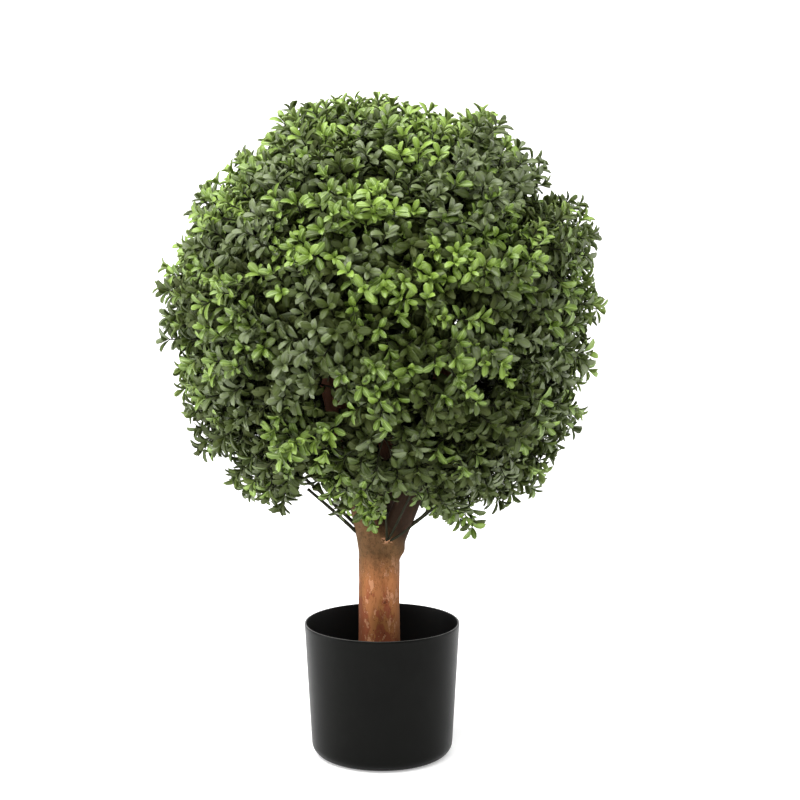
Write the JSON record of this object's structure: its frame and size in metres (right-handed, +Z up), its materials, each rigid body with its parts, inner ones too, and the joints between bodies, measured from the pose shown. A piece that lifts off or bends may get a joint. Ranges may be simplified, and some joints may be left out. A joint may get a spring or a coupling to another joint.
{
  "type": "potted topiary ball",
  "caption": "Artificial box bush clipped to a ball, on a forked natural-wood trunk set in a plain round black pot.",
  "frame": {"origin": "middle of the pot's flat underside", "axes": "+Z up along the pot's axis to the crown, -Y towards the front, +X to the viewer's right"},
  "size_m": [0.4038, 0.4029, 0.6135],
  "materials": {
    "pot": "satin",
    "filler": "matt",
    "bark": "natural bark",
    "stem": "satin",
    "leaf": "satin"
  },
  "bodies": {
    "root": {"pot": "pot", "filler": "filler", "trunk": "bark", "limb_left": "bark", "limb_right": "bark", "limb_back": "bark", "stem_left_low": "stem", "stem_left_high": "stem", "stem_right_low": "stem", "stem_front_left": "stem", "stem_front_right": "stem", "stem_front_outer": "stem", "foliage_ball": "leaf"}
  },
  "joints": []
}
